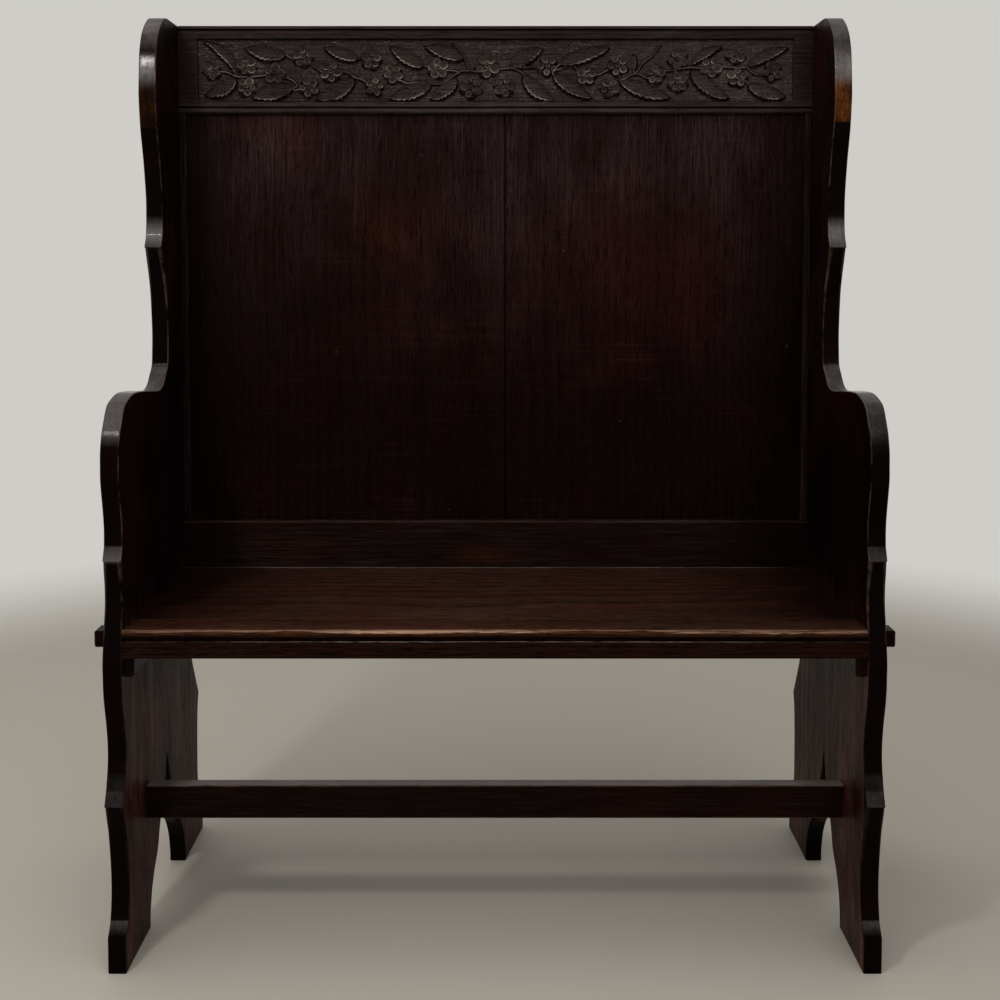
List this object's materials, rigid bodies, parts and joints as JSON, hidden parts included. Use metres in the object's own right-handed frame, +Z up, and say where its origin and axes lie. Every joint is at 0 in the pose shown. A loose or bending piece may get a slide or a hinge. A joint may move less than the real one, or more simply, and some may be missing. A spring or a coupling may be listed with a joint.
{
  "type": "settle bench",
  "caption": "High-backed wooden settle with shaped plank ends, boarded back, sunk frieze in the top rail, plank seat and low stretcher.",
  "frame": {"origin": "on the floor, below the middle of the bounding box", "axes": "-Y is the side that the sitter faces, +Z is up, +X is the viewer's right seen from the front"},
  "size_m": [1.025, 0.4494, 1.264],
  "materials": {
    "stained_oak": "dark brown stain under a satin wax polish",
    "worn_oak": "dark brown stain, worn lighter on the edges, satin wax polish",
    "dark_oak": "dark brown stain, dull",
    "steel": "dull, slightly rusted"
  },
  "bodies": {
    "root": {"right_end": "stained_oak", "left_end": "stained_oak", "seat_front_rail": "worn_oak", "seat_board": "worn_oak", "right_seat_bearer": "dark_oak", "left_seat_bearer": "dark_oak", "top_rail": "stained_oak", "lower_back_rail": "stained_oak", "left_back_panel": "stained_oak", "right_back_panel": "stained_oak", "right_back_fillet": "stained_oak", "left_back_fillet": "stained_oak", "stretcher": "stained_oak", "right_bearer_screw_1": "steel", "left_bearer_screw_1": "steel", "right_bearer_screw_2": "steel", "left_bearer_screw_2": "steel", "right_bearer_screw_3": "steel", "left_bearer_screw_3": "steel", "right_seat_screw_1": "steel", "left_seat_screw_1": "steel", "right_seat_screw_2": "steel", "left_seat_screw_2": "steel"}
  },
  "joints": []
}
